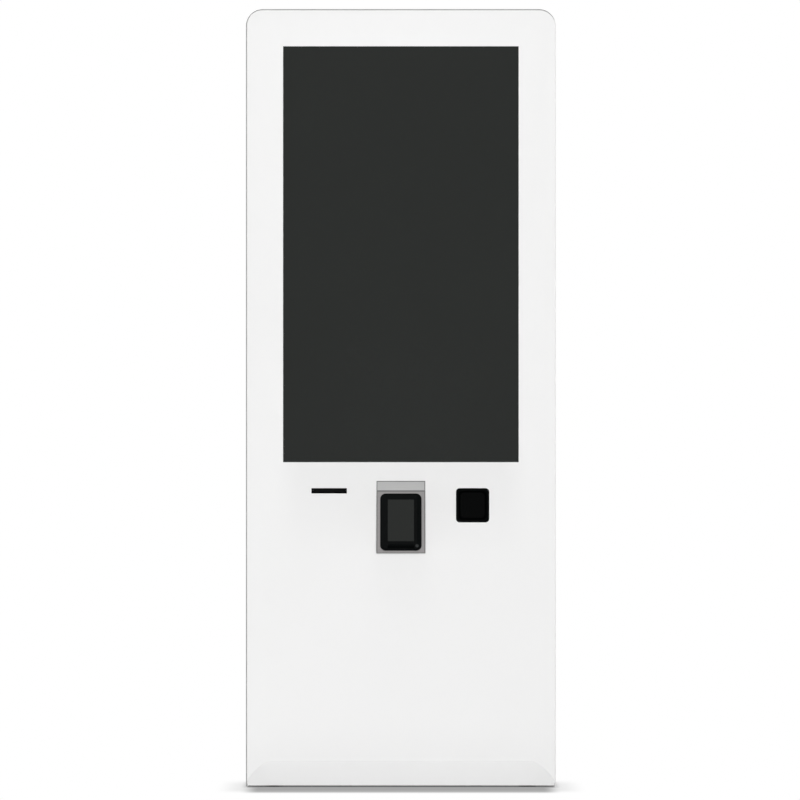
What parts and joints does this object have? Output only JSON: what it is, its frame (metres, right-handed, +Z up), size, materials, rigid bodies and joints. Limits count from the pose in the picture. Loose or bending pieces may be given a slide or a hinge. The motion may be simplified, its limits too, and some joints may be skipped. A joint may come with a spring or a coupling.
{
  "type": "ticket vending machine",
  "caption": "Slim floor-standing self-service ticket machine with a tall touch screen, receipt slot, sloping card terminal, ticket scanner and a lockable rear service door.",
  "frame": {"origin": "on the floor, under the middle of the whole machine's box", "axes": "+Z up, -Y towards the user at the screen, +X to that user's right"},
  "size_m": [0.706, 0.348, 1.775],
  "materials": {
    "white_powder_coat": "fine satin powder coat",
    "grey_powder_coat": "grey coated heat-sink casting",
    "zinc_steel": "zinc plated sheet",
    "brushed_steel": "brushed",
    "bright_steel": "bright",
    "black_plastic": "satin black",
    "dark_plastic": "matt dark grey",
    "light_plastic": "matt light grey",
    "green_plastic": "satin green",
    "screen_glass": "dark glass, screen off",
    "black_rubber": "matt",
    "bare_aluminium": "mill finish",
    "paper_white": "uncoated"
  },
  "bodies": {
    "cabinet": {"front_panel": "white_powder_coat", "body_wrap": "white_powder_coat", "rear_frame": "white_powder_coat", "base_plate": "zinc_steel", "kick_plate": "white_powder_coat", "upright_left": "zinc_steel", "upright_right": "zinc_steel", "display_rail_lower": "zinc_steel", "display_rail_upper": "zinc_steel", "display_bracket_left": "zinc_steel", "display_bracket_right": "zinc_steel", "screen_gasket": "black_rubber", "touch_glass": "screen_glass", "display_module": "dark_plastic", "slot_bezel": "black_plastic", "printer_chassis": "dark_plastic", "printer_shelf": "zinc_steel", "roll_holder": "zinc_steel", "terminal_cradle": "brushed_steel", "payment_terminal": "black_plastic", "terminal_screen": "screen_glass", "terminal_clamp": "zinc_steel", "scanner_bezel": "black_plastic", "scanner_window": "screen_glass", "scanner_module": "dark_plastic", "equipment_plate": "zinc_steel", "computer_case": "grey_powder_coat", "power_supply": "bare_aluminium", "cable_duct": "light_plastic", "din_rail": "zinc_steel", "circuit_breaker": "light_plastic", "cable_gland": "black_plastic", "hinge_leaf_frame": "bright_steel", "hinge_pin": "bright_steel", "display_cable": "black_rubber", "printer_cable": "black_rubber", "terminal_cable": "black_rubber", "scanner_cable": "black_rubber"},
    "door": {"rear_door": "white_powder_coat", "door_gasket": "black_rubber", "hinge_leaf_door": "bright_steel", "fan_housing_left": "dark_plastic", "fan_housing_right": "dark_plastic", "lock_case": "zinc_steel", "rod_guide_upper": "zinc_steel", "rod_guide_lower": "zinc_steel"},
    "lock": {"lock_pinion": "bright_steel"},
    "rod_upper": {"latch_rod_upper": "zinc_steel"},
    "rod_lower": {"latch_rod_lower": "zinc_steel"},
    "fan_left": {"fan_rotor_left": "black_plastic"},
    "fan_right": {"fan_rotor_right": "black_plastic"},
    "breaker": {"breaker_lever": "dark_plastic"},
    "printer_lid": {"printer_cover": "light_plastic"},
    "platen": {"platen_roller": "black_rubber"},
    "roll": {"paper_roll": "paper_white"},
    "feed_button": {"printer_feed_button": "green_plastic"},
    "foot_fl": {"levelling_foot_fl": "black_plastic"},
    "foot_fr": {"levelling_foot_fr": "black_plastic"},
    "foot_rl": {"levelling_foot_rl": "black_plastic"},
    "foot_rr": {"levelling_foot_rr": "black_plastic"}
  },
  "joints": [
    {"name": "door_hinge", "type": "hinge", "parent": "cabinet", "child": "door", "pos_m": [-0.3363, 0.15629, 0.9], "axis": [0, 0, 1], "range_deg": [0, 110]},
    {"name": "lock_turn", "type": "hinge", "parent": "door", "child": "lock", "pos_m": [0.275, 0.17399, 0.9], "axis": [0, -1, 0], "range_deg": [0, 90]},
    {"name": "rod_upper_slide", "type": "slide", "parent": "door", "child": "rod_upper", "axis": [0, 0, 1], "range_m": [0, 0.01885]},
    {"name": "rod_lower_slide", "type": "slide", "parent": "door", "child": "rod_lower", "axis": [0, 0, -1], "range_m": [0, 0.01885]},
    {"name": "fan_left_spin", "type": "hinge", "parent": "door", "child": "fan_left", "pos_m": [-0.09, 0.15439, 1.56], "axis": [0, 1, 0], "continuous": true},
    {"name": "fan_right_spin", "type": "hinge", "parent": "door", "child": "fan_right", "pos_m": [0.09, 0.15439, 1.56], "axis": [0, 1, 0], "continuous": true},
    {"name": "breaker_toggle", "type": "hinge", "parent": "cabinet", "child": "breaker", "pos_m": [-0.18235, 0.07679, 0.4944], "axis": [-1, 0, 0], "range_deg": [0, 40]},
    {"name": "printer_cover_hinge", "type": "hinge", "parent": "cabinet", "child": "printer_lid", "pos_m": [-0.1635, 0.01459, 0.6905], "axis": [-1, 0, 0], "range_deg": [0, 55]},
    {"name": "roll_spin", "type": "hinge", "parent": "cabinet", "child": "roll", "pos_m": [-0.1635, 0.06859, 0.6777], "axis": [1, 0, 0], "continuous": true},
    {"name": "platen_spin", "type": "hinge", "parent": "cabinet", "child": "platen", "pos_m": [-0.1635, -0.05941, 0.67], "axis": [1, 0, 0], "continuous": true},
    {"name": "feed_press", "type": "slide", "parent": "cabinet", "child": "feed_button", "axis": [0, -1, 0], "range_m": [0, 0.0015], "stiffness_N_per_m": 400},
    {"name": "foot_fl_screw", "type": "slide", "parent": "cabinet", "child": "foot_fl", "axis": [0, 0, -1], "range_m": [0, 0.012]},
    {"name": "foot_fr_screw", "type": "slide", "parent": "cabinet", "child": "foot_fr", "axis": [0, 0, -1], "range_m": [0, 0.012]},
    {"name": "foot_rl_screw", "type": "slide", "parent": "cabinet", "child": "foot_rl", "axis": [0, 0, -1], "range_m": [0, 0.012]},
    {"name": "foot_rr_screw", "type": "slide", "parent": "cabinet", "child": "foot_rr", "axis": [0, 0, -1], "range_m": [0, 0.012]}
  ],
  "couplings": [
    {"joint": "lock_turn", "follows": "rod_upper_slide", "rad_per_m": 83.333},
    {"joint": "rod_lower_slide", "follows": "rod_upper_slide", "ratio": 1},
    {"joint": "platen_spin", "follows": "roll_spin", "ratio": 6.1765}
  ]
}
